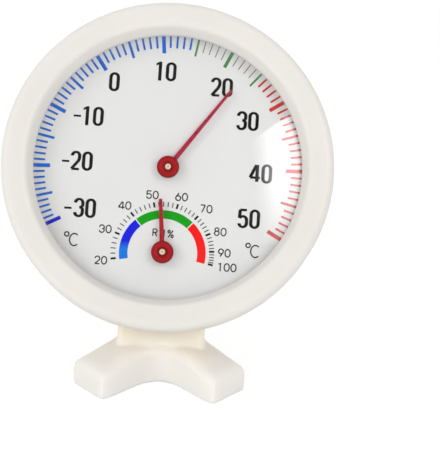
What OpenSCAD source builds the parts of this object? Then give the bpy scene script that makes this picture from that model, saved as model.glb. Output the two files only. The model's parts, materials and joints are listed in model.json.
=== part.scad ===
// Dial thermo-hygrometer on a slip-on desk stand.
// A moulded case holds two separate movements behind one printed dial. In each movement a spiral
// coil winds or unwinds, and turns its own spindle and pointer. The stand is a splayed foot whose
// leaning tongue slides into a socket in the case.
// The origin is on the surface that the stand rests on, below the neck. +Z is up, and the dial
// faces -Y.

/* [Case] */
// Outer diameter of the bezel
case_d = 74; // [73:0.5:76]
// Depth of the case from the bezel's front land to the back
case_depth = 20; // [20:0.5:23]
// Diameter of the bezel's opening, through which the lens shows
window_d = 60; // [59.4:0.1:60.4]
// Thickness of the back wall
wall = 1.6; // [1.4:0.1:1.8]
// Backward lean of the dial, in degrees
lean = 24; // [22:0.5:25]
// Height of the dial's centre line above the table, measured at the bezel's front land
case_z = 49; // [48.5:0.1:50]
// Distance of that point behind the origin
case_y = 5.2; // [5:0.1:5.6]

/* [Lens] */
// Depth of the top of the dome below the bezel's land
dome_drop = 1.2; // [0.9:0.1:1.5]
// Thickness of the lens
lens_t = 1; // [0.8:0.1:1]

/* [Dial and pointers] */
// Depth of the printed face below the bezel's land
dial_depth = 6.4; // [6.4:0.1:6.8]
// Thickness of the dial plate
dial_t = 0.5; // [0.4:0.05:0.5]
// Distance between the two spindles
spindle_gap = 19.2; // [18.5:0.1:19.5]
// Turn of the dial in its seat, in degrees clockwise
dial_turn = 1.3; // [-3:0.1:3]
// Temperature shown at rest, in degrees Celsius
reading_c = 23.3; // [-30:0.1:50]
// Relative humidity shown at rest, in percent
reading_rh = 52.8; // [20:0.1:100]
// Reach of the temperature pointer from its spindle
temperature_reach = 22.7; // [20:0.1:24]
// Reach of the humidity pointer from its spindle
humidity_reach = 11.75; // [10:0.05:12.5]
// Diameter of the pressed caps over the pointers
cap_d = 5; // [4.4:0.1:5.6]
// Diameter of the spindles
spindle_d = 1.3; // [1.1:0.05:1.4]

/* [Movements] */
// Number of full turns in each spiral coil
coil_turns = 5; // [4:1:5]
// Radius of the outer turn of each coil
coil_r = 6.4; // [6:0.1:6.6]
// Thickness of the coil strip
strip_t = 0.22; // [0.15:0.01:0.25]
// Width of the coil strip
strip_w = 2.8; // [2.2:0.1:3]
// Width of the brackets that carry the spindles
bracket_w = 5; // [4.6:0.1:5.4]

/* [Back of the case] */
// Radius of the keyhole's round entry
keyhole_r = 4; // [3.5:0.1:4.2]
// Width of the keyhole's upper slot
keyhole_slot_w = 4; // [3:0.1:4]
// Number of vent slots
vents = 7; // [5:2:7]
// Width of a vent slot
vent_w = 1.8; // [1.2:0.1:2]

/* [Stand] */
// Width over the outer corners of the feet
foot_w = 38.5; // [37:0.5:40]
// Width over the front corners of the feet
toe_w = 24.6; // [24:0.2:26]
// Height of the feet
foot_h = 6.1; // [5.6:0.1:6.6]
// Height of the hill round the neck
hill_h = 10.2; // [9.8:0.1:10.6]
// Width of the neck
neck_w = 20; // [19:0.5:21]
// Width of the tongue
tongue_w = 14; // [12:0.5:15]
// Thickness of the tongue
tongue_t = 3.6; // [3:0.1:3.8]
// Width of the tail
tail_w = 17; // [15:0.5:18]

/* [Hidden] */
$fn = 72;
eps = 0.01;

// Case, in a frame whose origin is the middle of the bezel's front land, with +Z towards the viewer
case_r = case_d / 2;
window_r = window_d / 2;
edge_r = 2;
crest_r = window_r + 2.5;
crest_round = 1.6;
funnel_turn = 62;
crest_steps = 4;
lip_depth = 4;
lip_wall = 1;
skirt_depth = 8;
skirt_chamfer = 0.8;
skirt_chamfer_h = 1.3;
skirt_r = case_r - 2.25;
bead_h = 0.3;
bead_top = 6.1;
bead_bottom = 7;
bead_slope = 0.2;
fit = 0.1;
shoulder_r = case_r - 1.6;
back_r = case_r - 3;
back_round = 2;
seat_r = case_r - 3.7;
seat_wall_r = case_r - 5;
floor_r = case_r - 5.6;
floor_round = 1;
rim_chamfer = 0.3;

// Lens and dial plate
lens_gap = 0.1;
dome_r = window_r - lens_gap;
dome_rise = lip_depth - dome_drop;
sphere_r = (dome_r * dome_r + dome_rise * dome_rise) / (2 * dome_rise);
sphere_z = -dome_drop - sphere_r;
dome_steps = 12;
flange_t = 1;
lens_foot_w = 1.6;
dial_r = seat_r - 0.1;

// Movements, measured from the printed face along the spindle, backwards is negative
needle_z = 1.15;
needle_t = 0.3;
temperature_root_w = 0.95;
temperature_tip_w = 0.55;
humidity_root_w = 0.9;
humidity_tip_w = 0.68;
eye_inset = 0.5;
cap_t = 0.8;
cap_round = 0.35;
cap_dish_r = 1.75;
cap_dish_floor_r = 1.3;
cap_dish = 0.16;
boss_r = 1.1;
boss_z = 0.5;
press = 0.02;
spindle_r = spindle_d / 2;
spindle_proud = 0.1;
centre_mark_r = 0.2;
centre_mark = 0.14;
spindle_end = -6.5;
pivot_r = 0.4;
pivot_end = -7.9;
run = 0.03;
bearing_r = 1.2;
bearing_rim_r = 1.9;
rim_t = 0.25;
bracket_t = 0.5;
bracket_x = 8.9;
bracket_bend = 1;
bracket_back = -7.5;
bush_r = 1.3;
collet_r = 1.7;
collet_top = -1.6;
collet_l = 3.6;
coil_top = -2;
coil_start_r = 2.1;
coil_steps = 20;
coil_tail = 8.3;
lug_x = 6.7;
lug_t = 0.5;
lug_gap = 0.02;

// Stand
notch_y = -2;
toe_y = -14;
heel_y = -4.6;
tail_y = 26;
hill_y = 3;
hill_r = 8.5;
slope_r = 17;
far_r = 30;
neck_front = 9.5;
neck_back = 18.5;
neck_round = 1.2;
neck_top = -30;
neck_bottom = -43.5;
tongue_front = 13.8;
tongue_top = -25.2;
tongue_root = -37;
tongue_chamfer = 1;
tongue_end_gap = 0.5;
saddle_gap = 0.2;
core_h = 4;
sleeve_wall = 1.2;
sleeve_top = -23.6;
sleeve_root = -32.6;

// Dial angle of a reading, in degrees counterclockwise from three o'clock
function temperature_angle(t) = 125.66 - 2.9535 * t - 0.0050 * t * t + 0.000044 * t * t * t;
function humidity_angle(h) =
    let (u = (h - 20) / 80) 189.9 - 247.5 * u + 74.9 * u * u - 112.4 * u * u * u + 85 * pow(u, 4);

// Point of a cubic curve with end points a and d, pulled towards b and c
function curve(a, b, c, d, t) =
    pow(1 - t, 3) * a + 3 * t * pow(1 - t, 2) * b + 3 * t * t * (1 - t) * c + pow(t, 3) * d;

// The case's own frame
module in_case() {
    translate([0, case_y, case_z]) rotate([90 - lean, 0, 0]) children();
}

// Frames on the printed face, centred on each spindle
module at_temperature() {
    in_case() translate([0, 0, -dial_depth]) rotate([0, 0, -dial_turn]) children();
}
module at_humidity() {
    at_temperature() translate([0, -spindle_gap, 0]) children();
}

// A tube between two heights
module tube(outer_r, inner_r, low, high) {
    translate([0, 0, low]) difference() {
        cylinder(r = outer_r, h = high - low);
        translate([0, 0, -1]) cylinder(r = inner_r, h = high - low + 2);
    }
}

// Bezel: the front ring of the case. A funnel rises from the lens over a round crest to a flat
// land, and the outer edge is rounded over to a skirt
module front_bezel() {
    crest = [for (i = [crest_steps : -1 : 0]) let (a = funnel_turn * i / crest_steps)
        [crest_r - crest_round * sin(a), -crest_round + crest_round * cos(a)]];
    edge = [for (a = [90 : -15 : 0])
        [case_r - edge_r + edge_r * cos(a), -edge_r + edge_r * sin(a)]];
    outline = concat(
        [[window_r, -lip_depth], [window_r, -lip_depth + lip_wall]],
        crest,
        edge,
        [[case_r, -skirt_depth + skirt_chamfer_h], [case_r - skirt_chamfer, -skirt_depth],
         [skirt_r, -skirt_depth],
         [skirt_r, -bead_bottom], [skirt_r + bead_h, -bead_bottom + bead_slope],
         [skirt_r + bead_h, -bead_top - bead_slope], [skirt_r, -bead_top],
         [skirt_r, -lip_depth]]
    );
    color("ivory") in_case() rotate_extrude() polygon(outline);
}

// Outside of the rear shell, grown by a gap where the stand has to clear it
module shell_body(gap) {
    rounding = [for (a = [0 : -18 : -90])
        [back_r - back_round + (back_round + gap) * cos(a),
         -case_depth + back_round + (back_round + gap) * sin(a)]];
    rotate_extrude() polygon(concat(
        [[0, -skirt_depth - fit], [shoulder_r + gap, -skirt_depth - fit]],
        rounding,
        [[0, -case_depth - gap]]
    ));
}

// Rim of the rear shell, which snaps into the bezel by a bead all round
module shell_rim() {
    r = skirt_r - fit;
    rotate_extrude() polygon([
        [seat_wall_r, -skirt_depth - 1], [r, -skirt_depth - 1],
        [r, -bead_bottom], [r + bead_h, -bead_bottom + bead_slope],
        [r + bead_h, -bead_top - bead_slope], [r, -bead_top],
        [r, -lip_depth - fit - rim_chamfer], [r - rim_chamfer, -lip_depth - fit],
        [seat_wall_r, -lip_depth - fit]
    ]);
}

// Hollow inside the rear shell: a seat for the dial, then straight down to the back wall
module shell_hollow() {
    floor_z = -case_depth + wall;
    rounding = [for (a = [0 : -30 : -90])
        [floor_r - floor_round + floor_round * cos(a), floor_z + floor_round + floor_round * sin(a)]];
    rotate_extrude() polygon(concat(
        [[0, 1], [seat_r, 1], [seat_r, -dial_depth - dial_t], [seat_wall_r, -dial_depth - dial_t]],
        rounding,
        [[0, floor_z]]
    ));
}

// Slot with round ends, cut down through the back wall
module back_slot(x, low, high, width) {
    for (y = [low, high]) {
        translate([x, y, -case_depth - 1]) cylinder(r = width / 2, h = wall + 2);
    }
    translate([x - width / 2, low, -case_depth - 1]) cube([width, high - low, wall + 2]);
}

// Rear shell: moulded tub with vent slots, a keyhole for a wall nail and a socket for the tongue
module rear_shell() {
    vent_pitch = 4.2;
    vent_field_r = 14.5;
    vent_y = -3;
    keyhole_y = 21;
    keyhole_top = 27.5;
    sleeve_w = tongue_w + 2 * (sleeve_wall + fit);
    color("ivory") in_case() difference() {
        union() {
            difference() {
                union() {
                    shell_body(0);
                    shell_rim();
                }
                shell_hollow();
            }
            translate([-sleeve_w / 2, sleeve_root, -case_depth + wall / 2])
                cube([sleeve_w, sleeve_top - sleeve_root,
                      case_depth - wall / 2 - tongue_front + fit + sleeve_wall]);
        }
        translate([-tongue_w / 2 - fit, -case_r, -tongue_front - tongue_t - fit])
            cube([tongue_w + 2 * fit, case_r + tongue_top + tongue_end_gap, tongue_t + 2 * fit]);
        for (i = [0 : vents - 1]) {
            x = (i - (vents - 1) / 2) * vent_pitch;
            half = sqrt(vent_field_r * vent_field_r - x * x) - vent_w / 2;
            back_slot(x, vent_y - half, vent_y + half, vent_w);
        }
        translate([0, keyhole_y, -case_depth - 1]) cylinder(r = keyhole_r, h = wall + 2);
        back_slot(0, keyhole_y, keyhole_top, keyhole_slot_w);
    }
}

// Point on the dome of the lens at a distance from its middle
function dome_point(radius, r) = [r, sphere_z + sqrt(radius * radius - r * r)];

// Lens: clear moulding, a shallow dome that springs from a flange under the bezel's lip. The foot
// of the flange holds the dial down
module lens() {
    inner_r = sphere_r - lens_t;
    flange_low = -lip_depth - flange_t;
    spring_r = sqrt(inner_r * inner_r - pow(flange_low - sphere_z, 2));
    outer = [for (i = [0 : dome_steps]) dome_point(sphere_r, dome_r * i / dome_steps)];
    inner = [for (i = [dome_steps : -1 : 0]) dome_point(inner_r, spring_r * i / dome_steps)];
    color([0.85, 0.92, 0.95, 0.35]) in_case() rotate_extrude($fn = 144) polygon(concat(
        outer,
        [[dial_r, -lip_depth], [dial_r, -dial_depth], [dial_r - lens_foot_w, -dial_depth],
         [dial_r - lens_foot_w, flange_low]],
        inner
    ));
}

// Dial plate: thin sheet disc with a hole for each bearing
module dial_plate() {
    color("whitesmoke") at_temperature() difference() {
        translate([0, 0, -dial_t]) cylinder(r = dial_r, h = dial_t, $fn = 180);
        for (y = [0, -spindle_gap]) {
            translate([0, y, -dial_t - 1]) cylinder(r = bearing_r + press, h = dial_t + 2);
        }
    }
}

// Pointer: stamped strip that tapers to its tip, with an eye that fits over the cap's boss
module needle(reach, root_w, tip_w, angle) {
    eye_r = cap_d / 2 - eye_inset;
    rotate([0, 0, angle]) translate([0, 0, needle_z]) difference() {
        linear_extrude(needle_t) union() {
            circle(r = eye_r);
            polygon([[0, -root_w / 2], [reach - tip_w / 2, -tip_w / 2], [reach, 0],
                     [reach - tip_w / 2, tip_w / 2], [0, root_w / 2]]);
        }
        translate([0, 0, -1]) cylinder(r = boss_r + press, h = needle_t + 2);
    }
}

// Cap: red disc with a soft edge and a shallow dish, whose boss goes through the pointer's eye
// onto the spindle
module cap() {
    low = needle_z + needle_t;
    high = low + cap_t;
    edge = [for (a = [0 : 30 : 90])
        [cap_d / 2 - cap_round + cap_round * cos(a), high - cap_round + cap_round * sin(a)]];
    rotate_extrude() polygon(concat(
        [[spindle_r + press, boss_z], [boss_r, boss_z], [boss_r, low], [cap_d / 2, low]],
        edge,
        [[cap_dish_r, high], [cap_dish_floor_r, high - cap_dish],
         [spindle_r + press, high - cap_dish]]
    ));
}

// Spindle: brass pin with a centre mark in front and a thinner pivot at its back end
module spindle() {
    high = needle_z + needle_t + cap_t + spindle_proud;
    chamfer = 0.12;
    rotate_extrude() polygon([
        [0, pivot_end], [pivot_r - chamfer, pivot_end], [pivot_r, pivot_end + chamfer],
        [pivot_r, spindle_end], [spindle_r, spindle_end],
        [spindle_r, high - chamfer], [spindle_r - chamfer, high],
        [centre_mark_r, high], [0, high - centre_mark]
    ]);
}

// Eyelet through the dial and the bracket, closed over both, in which the spindle runs
module bearing() {
    back = -dial_t - bracket_t;
    tube(bearing_rim_r, spindle_r + run, 0, rim_t);
    tube(bearing_r, spindle_r + run, back - rim_t, rim_t);
    tube(bearing_rim_r, spindle_r + run, back - rim_t, back);
}

// Rear bush in the bracket, in which the pivot runs
module pivot_bush() {
    front = bracket_back + bracket_t;
    tube(bearing_rim_r, pivot_r + run, front, front + rim_t);
    tube(bush_r, pivot_r + run, bracket_back - rim_t, front + rim_t);
    tube(bearing_rim_r, pivot_r + run, bracket_back - rim_t, bracket_back);
}

// Side view of the bent strip: open on the left, with a round bend at both right corners
module bracket_side(size_x, size_z, bend) {
    translate([size_x - bend, bend]) circle(r = bend);
    translate([size_x - bend, size_z - bend]) circle(r = bend);
    square([size_x - bend, size_z]);
    translate([0, bend]) square([size_x, size_z - 2 * bend]);
}

// Bracket: one strip bent to a C, with a lug folded in from its leg to grip the coil's outer end
module bracket() {
    end_r = bracket_w / 2;
    height = -bracket_back - dial_t;
    inside_bend = bracket_bend - bracket_t;
    lug_y = strip_t / 2 + lug_gap;
    window_margin = 0.4;
    difference() {
        union() {
            intersection() {
                translate([-end_r, end_r + 1, bracket_back]) rotate([90, 0, 0])
                    linear_extrude(bracket_w + 2) difference() {
                        bracket_side(bracket_x + end_r, height, bracket_bend);
                        translate([-1, bracket_t])
                            bracket_side(bracket_x + end_r + 1 - bracket_t,
                                         height - 2 * bracket_t, inside_bend);
                    }
                translate([0, 0, bracket_back - 1]) union() {
                    cylinder(r = end_r, h = height + 2);
                    translate([0, -end_r, 0]) cube([bracket_x + 1, bracket_w, height + 2]);
                }
            }
            translate([lug_x, lug_y, coil_top - strip_w])
                cube([bracket_x - bracket_t / 2 - lug_x, lug_t, strip_w]);
        }
        translate([0, 0, -dial_t - bracket_t - 1])
            cylinder(r = bearing_r + press, h = bracket_t + 2);
        translate([0, 0, bracket_back - 1]) cylinder(r = bush_r + press, h = bracket_t + 2);
        translate([bracket_x - bracket_t - eps, lug_y + lug_t, coil_top - strip_w])
            cube([bracket_t + 1, end_r - lug_y - lug_t - window_margin, strip_w]);
    }
}

// Collet: bush pressed on the spindle, to which the coil's inner end is fixed
module collet() {
    groove = 0.3;
    low = collet_top - collet_l;
    rotate_extrude() polygon([
        [spindle_r + press, low], [collet_r - groove, low], [collet_r, low + groove],
        [collet_r, collet_top - groove], [collet_r - groove, collet_top],
        [spindle_r + press, collet_top]
    ]);
}

// Centre line of the coil: out from the collet, round the turns, and out again to the lug
coil_count = coil_turns * coil_steps;
function coil_point(i) =
    let (r = coil_start_r + (coil_r - coil_start_r) * i / coil_count, a = 360 * i / coil_steps)
    [r * cos(a), r * sin(a)];
coil_line = concat([[collet_r + press, 0]], [for (i = [0 : coil_count]) coil_point(i)],
                   [[coil_tail, 0]]);
coil_gap = min([for (i = [0 : coil_count - coil_steps])
    norm(coil_point(i + coil_steps) - coil_point(i)) - strip_t]);
echo(least_gap_between_turns = coil_gap);

// Unit vector across the coil's centre line at one of its points
function across(line, i) =
    let (a = line[max(i - 1, 0)], b = line[min(i + 1, len(line) - 1)], d = (b - a) / norm(b - a))
    [-d[1], d[0]];

// Coil: a flat strip standing on edge, wound to a spiral
module coil() {
    count = len(coil_line);
    outer = [for (i = [0 : count - 1]) coil_line[i] + across(coil_line, i) * strip_t / 2];
    inner = [for (i = [count - 1 : -1 : 0]) coil_line[i] - across(coil_line, i) * strip_t / 2];
    translate([0, 0, coil_top - strip_w]) linear_extrude(strip_w) polygon(concat(outer, inner));
}

// Temperature movement
module temperature_needle() {
    color("crimson") at_temperature()
        needle(temperature_reach, temperature_root_w, temperature_tip_w,
               temperature_angle(reading_c));
}
module temperature_hub() { color("darkred") at_temperature() cap(); }
module temperature_spindle() { color("goldenrod") at_temperature() spindle(); }
module temperature_bearing() { color("goldenrod") at_temperature() bearing(); }
module temperature_frame() { color("silver") at_temperature() bracket(); }
module temperature_pivot_bush() { color("goldenrod") at_temperature() pivot_bush(); }
module temperature_collet() { color("goldenrod") at_temperature() collet(); }
module temperature_coil() { color("peru") at_temperature() coil(); }

// Humidity movement
module humidity_needle() {
    color("crimson") at_humidity()
        needle(humidity_reach, humidity_root_w, humidity_tip_w, humidity_angle(reading_rh));
}
module humidity_hub() { color("darkred") at_humidity() cap(); }
module humidity_spindle() { color("goldenrod") at_humidity() spindle(); }
module humidity_bearing() { color("goldenrod") at_humidity() bearing(); }
module humidity_frame() { color("silver") at_humidity() bracket(); }
module humidity_pivot_bush() { color("goldenrod") at_humidity() pivot_bush(); }
module humidity_collet() { color("goldenrod") at_humidity() collet(); }
module humidity_coil() { color("tan") at_humidity() coil(); }

// Front edge of the foot, right half: a soft S from the toe in to the middle of the notch
steps = 8;
notch_edge = [for (i = [0 : steps])
    curve([toe_w / 2, toe_y], [8, -11.8], [4.8, notch_y], [0, notch_y], i / steps)];

// Side edge of the foot, right half: from the outer corner back into the side of the tail
side_edge = [for (i = [0 : steps])
    curve([foot_w / 2, heel_y], [14.5, 3.2], [tail_w / 2 + 1.6, 3.4], [tail_w / 2, 15], i / steps)];

// Round end of the tail, right half, without its point on the middle line
tail_edge = [for (a = [0 : 15 : 75])
    [tail_w / 2 * cos(a), tail_y - tail_w / 2 + tail_w / 2 * sin(a)]];

// The right half of the outline, from the notch round to the back, and its mirror image in reverse
right_edge = concat([for (i = [steps - 1 : -1 : 0]) notch_edge[i]], side_edge, tail_edge);
left_edge = [for (i = [len(right_edge) - 1 : -1 : 0]) [-right_edge[i][0], right_edge[i][1]]];

// Plan of the foot: two splayed feet with square-cut ends, a notch between them, and a tail
module foot_plan() {
    polygon(concat([[0, notch_y]], right_edge, [[0, tail_y]], left_edge));
}

// Height of the foot's top at a distance from the middle of the hill
function hill_top(r) =
    let (u = min(max((r - hill_r) / (slope_r - hill_r), 0), 1))
    foot_h + (hill_h - foot_h) * (1 + cos(180 * u)) / 2;

// Top surface of the foot: a round hill under the neck that eases out to level feet
module hill() {
    slope = [for (i = [0 : 8]) let (r = hill_r + (slope_r - hill_r) * i / 8) [r, hill_top(r)]];
    translate([0, hill_y, 0]) rotate_extrude($fn = 96)
        polygon(concat([[0, 0], [far_r, 0], [far_r, foot_h]],
                       [for (i = [8 : -1 : 0]) slope[i]], [[0, hill_h]]));
}

// Cross-section of the neck, with rounded corners
module neck_section(width, depth, corner) {
    for (x = [corner, width - corner], y = [corner, depth - corner]) {
        translate([x, y]) circle(r = corner, $fn = 32);
    }
    translate([corner, 0]) square([width - 2 * corner, depth]);
    translate([0, corner]) square([width, depth - 2 * corner]);
}

// Neck: leans with the dial, and ends in a saddle that follows the round of the case
module neck() {
    meets_notch = case_z - (case_y + neck_front / cos(lean) - notch_y) / tan(lean);
    inset = 0.05;
    difference() {
        in_case() difference() {
            translate([-neck_w / 2, neck_top, -neck_back]) rotate([90, 0, 0])
                linear_extrude(neck_top - neck_bottom)
                neck_section(neck_w, neck_back - neck_front, neck_round);
            shell_body(saddle_gap);
        }
        translate([-neck_w, notch_y + inset - neck_w, -1])
            cube([2 * neck_w, neck_w, meets_notch + inset + 1]);
    }
}

// Tongue: the flat tab that goes up into the socket of the rear shell
module tongue() {
    half = tongue_w / 2;
    in_case() translate([0, 0, -tongue_front - tongue_t]) linear_extrude(tongue_t) polygon([
        [-half, tongue_root], [half, tongue_root], [half, tongue_top - tongue_chamfer],
        [half - tongue_chamfer, tongue_top], [-half + tongue_chamfer, tongue_top],
        [-half, tongue_top - tongue_chamfer]
    ]);
}

// Cored pockets in the underside, which keep the walls of the moulding even
module pockets() {
    rib = 1.6;
    foot_core = [[11.6, -11.2], [16.4, -4.9], [12.4, -0.6], [7.4, -6.2]];
    tail_core_w = tail_w / 2 - rib - rib / 2;
    tail_core_l = 9;
    tail_core_y = 14.5;
    for (side = [-1, 1]) {
        translate([0, 0, -1]) linear_extrude(core_h + 1)
            polygon([for (corner = foot_core) [side * corner[0], corner[1]]]);
        translate([side * (rib + tail_core_w) / 2, tail_core_y, -1]) linear_extrude(core_h + 1)
            square([tail_core_w, tail_core_l], center = true);
    }
}

// Foot of the stand, one moulding with its neck and tongue
module stand_foot() {
    color("ivory") union() {
        difference() {
            union() {
                intersection() {
                    linear_extrude(hill_h + 1) foot_plan();
                    hill();
                }
                neck();
            }
            pockets();
        }
        tongue();
    }
}

stand_foot();
front_bezel();
rear_shell();
lens();
dial_plate();
temperature_needle();
temperature_hub();
temperature_spindle();
temperature_bearing();
temperature_frame();
temperature_pivot_bush();
temperature_collet();
temperature_coil();
humidity_needle();
humidity_hub();
humidity_spindle();
humidity_bearing();
humidity_frame();
humidity_pivot_bush();
humidity_collet();
humidity_coil();
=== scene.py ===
import json
import math

import bmesh
import bpy
from mathutils import Euler, Matrix, Vector
from mathutils.kdtree import KDTree


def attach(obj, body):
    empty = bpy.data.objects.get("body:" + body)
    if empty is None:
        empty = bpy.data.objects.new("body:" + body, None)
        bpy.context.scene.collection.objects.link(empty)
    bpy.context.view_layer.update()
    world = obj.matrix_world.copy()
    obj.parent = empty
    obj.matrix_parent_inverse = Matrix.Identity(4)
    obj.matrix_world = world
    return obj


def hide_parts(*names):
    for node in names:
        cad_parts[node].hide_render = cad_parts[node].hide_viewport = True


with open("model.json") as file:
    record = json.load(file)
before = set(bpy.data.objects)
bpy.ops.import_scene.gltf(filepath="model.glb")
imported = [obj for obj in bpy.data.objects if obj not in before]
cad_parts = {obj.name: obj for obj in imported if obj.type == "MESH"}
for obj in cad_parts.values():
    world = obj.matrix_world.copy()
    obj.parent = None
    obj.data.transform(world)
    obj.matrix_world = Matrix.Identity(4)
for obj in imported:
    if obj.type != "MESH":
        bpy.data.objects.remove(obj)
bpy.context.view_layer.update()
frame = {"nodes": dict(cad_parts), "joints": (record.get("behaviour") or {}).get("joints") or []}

# Foot of the stand
# One moulding of warm white polystyrene: two splayed feet with a rounded notch between them, a tail
# at the back, a short neck that leans with the dial, and the flat tongue that carries the case.
mm = 0.001
joints = {joint["name"]: joint for joint in frame["joints"]}
dial_normal = Vector(joints["temperature_turn"]["axis"])
lean = math.asin(dial_normal.z)
case_middle = Vector((0, 5.2, 49)) * mm
case_place = Matrix.Translation(case_middle) @ Matrix.Rotation(math.pi / 2 - lean, 4, "X")
foot_height = 6.3 * mm
hill_height = 8.7 * mm
hill_middle_y = 3 * mm
hill_radius = 6 * mm
slope_radius = 20.5 * mm
edge_drop = 1.9 * mm
edge_width = 3 * mm
arc_pull = 0.5523
plan_voxel, stand_voxel = 0.35 * mm, 0.3 * mm
softening_passes = 22


def deselect():
    """Nothing is selected or active in edit mode."""
    if bpy.context.object and bpy.context.object.mode != "OBJECT":
        bpy.ops.object.mode_set(mode="OBJECT")
    bpy.ops.object.select_all(action="DESELECT")


def activate(piece):
    """The piece alone is selected and active."""
    deselect()
    piece.select_set(True)
    bpy.context.view_layer.objects.active = piece


def edit(piece):
    """Edit mode on the piece, with the whole of its mesh selected."""
    activate(piece)
    bpy.ops.object.mode_set(mode="EDIT")
    bpy.ops.mesh.select_all(action="SELECT")


def settle(piece, place):
    """The piece's place goes into its mesh, and its object stays at the origin."""
    activate(piece)
    piece.matrix_world = place
    bpy.ops.object.transform_apply(location=True, rotation=True, scale=True)


def apply_modifier(piece, kind, **settings):
    """One modifier of this kind, applied."""
    activate(piece)
    modifier = piece.modifiers.new(kind, kind)
    for name, value in settings.items():
        setattr(modifier, name, value)
    bpy.ops.object.modifier_apply(modifier=modifier.name)


def combine(piece, tool, operation):
    """The piece joined with, or cut by, a tool that is then deleted."""
    apply_modifier(piece, "BOOLEAN", object=tool, operation=operation, solver="EXACT")
    bpy.data.objects.remove(tool)


def weld(piece, gap=1e-6):
    """Doubled points become one, and the faces point outwards."""
    edit(piece)
    bpy.ops.mesh.remove_doubles(threshold=gap)
    bpy.ops.mesh.normals_make_consistent(inside=False)
    bpy.ops.object.mode_set(mode="OBJECT")


def smooth(piece, angle):
    """Shading is smooth, apart from edges sharper than the angle in degrees."""
    activate(piece)
    bpy.ops.object.shade_smooth_by_angle(angle=math.radians(angle))


def as_mesh(name, curve):
    """A curve object turned into a mesh of this name."""
    activate(curve)
    bpy.ops.object.convert(target="MESH")
    curve.name = name
    weld(curve)
    return curve


def foot_corners():
    """Right half of the foot's plan: points with the pulls of the curve before and after them."""
    toe, outer = Vector((12.3, -14)), Vector((19.25, -4.6))
    waist, side = Vector((8.5, 15)), Vector((8.5, 17.5))
    pull = arc_pull * side.x
    return [
        (toe, Vector((8, -11.8)), toe.lerp(outer, 1 / 3)),
        (outer, toe.lerp(outer, 2 / 3), Vector((14.5, 3.2))),
        (waist, Vector((10.1, 3.4)), waist.lerp(side, 1 / 3)),
        (side, waist.lerp(side, 2 / 3), side + Vector((0, pull))),
    ]


def mirrored(point):
    return Vector((-point.x, point.y))


def foot_outline():
    """The whole plan, from the middle of the notch round to the right and back."""
    half = foot_corners()
    notch = (Vector((0, -2)), Vector((-4.8, -2)), Vector((4.8, -2)))
    pull = arc_pull * half[-1][0].x
    tail = (Vector((0, 26)), Vector((pull, 26)), Vector((-pull, 26)))
    other = [(mirrored(point), mirrored(after), mirrored(before)) for point, before, after in half[::-1]]
    return [notch] + half + [tail] + other


bpy.ops.curve.primitive_bezier_curve_add()
plan = bpy.context.object
plan.data.dimensions = "2D"
plan.data.fill_mode = "BOTH"
plan.data.resolution_u = 20
plan_line = plan.data.splines[0]
outline = foot_outline()
plan_line.bezier_points.add(len(outline) - 2)
for corner, (point, before, after) in zip(plan_line.bezier_points, outline):
    corner.handle_left_type = corner.handle_right_type = "FREE"
    corner.co = point.to_3d() * mm
    corner.handle_left = before.to_3d() * mm
    corner.handle_right = after.to_3d() * mm
plan_line.use_cyclic_u = True
foot = as_mesh("stand_foot_moulding", plan)

edit(foot)
bpy.ops.mesh.extrude_region_move(TRANSFORM_OT_translate={"value": (0, 0, foot_height)})
weld(foot)
rim_points = [vertex.co.copy() for vertex in foot.data.vertices if vertex.co.z < foot_height / 2]
rim_points.sort(key=lambda point: math.atan2(point.x, point.y - hill_middle_y))
steps_between = 10
rim_tree = KDTree(len(rim_points) * steps_between)
for i, point in enumerate(rim_points):
    following = rim_points[(i + 1) % len(rim_points)]
    for k in range(steps_between):
        rim_tree.insert(point.lerp(following, k / steps_between), i)
rim_tree.balance()
apply_modifier(foot, "REMESH", mode="VOXEL", voxel_size=plan_voxel)


def hill_top(distance):
    """Height of the top at a distance from the middle of the hill, which eases out to level feet."""
    share = min(max((distance - hill_radius) / (slope_radius - hill_radius), 0), 1)
    return foot_height + (hill_height - foot_height) * (1 + math.cos(math.pi * share)) / 2


def rolled_edge(distance):
    """Drop of the top at a distance from the rim, along a quarter oval."""
    share = 1 - min(distance / edge_width, 1)
    return edge_drop * (1 - math.sqrt(1 - share ** 2))


for vertex in foot.data.vertices:
    on_floor = Vector((vertex.co.x, vertex.co.y, 0))
    distance = math.hypot(vertex.co.x, vertex.co.y - hill_middle_y)
    top = hill_top(distance) - rolled_edge(rim_tree.find(on_floor)[2])
    vertex.co.z *= top / foot_height


def block(name, low, high, round_edges=0, along="y", segments=6):
    """A block between two corners, in millimetres, with its edges along one axis rounded."""
    low, high = Vector(low) * mm, Vector(high) * mm
    bpy.ops.mesh.primitive_cube_add(size=1, location=(low + high) / 2, scale=high - low)
    piece = bpy.context.object
    piece.name = name
    bpy.ops.object.transform_apply(location=True, rotation=True, scale=True)
    if round_edges:
        axis = "xyz".index(along)
        edit(piece)
        bpy.ops.mesh.select_all(action="DESELECT")
        mesh = bmesh.from_edit_mesh(piece.data)
        for edge in mesh.edges:
            run = edge.verts[0].co - edge.verts[1].co
            edge.select_set(abs(run[axis]) > 0.9 * run.length)
        bpy.ops.mesh.bevel(offset=round_edges * mm, segments=segments, affect="EDGES")
        bpy.ops.object.mode_set(mode="OBJECT")
    return piece


neck_low, neck_high, neck_round = (-9.8, -39.5, -18.5), (9.8, -30, -9.9), 1.4
neck = block("neck", neck_low, neck_high, neck_round)
settle(neck, case_place)
combine(foot, neck, "UNION")


def flat_lines(lines, closed=True):
    """A flat curve object with these lines of points."""
    bpy.ops.curve.primitive_bezier_curve_add()
    drawn = bpy.context.object
    drawn.data.splines.clear()
    drawn.data.dimensions = "2D"
    for points in lines:
        line = drawn.data.splines.new("POLY")
        line.points.add(len(points) - 1)
        for point, (x, y) in zip(line.points, points):
            point.co = (x, y, 0, 1)
        line.use_cyclic_u = closed
    return drawn


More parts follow.
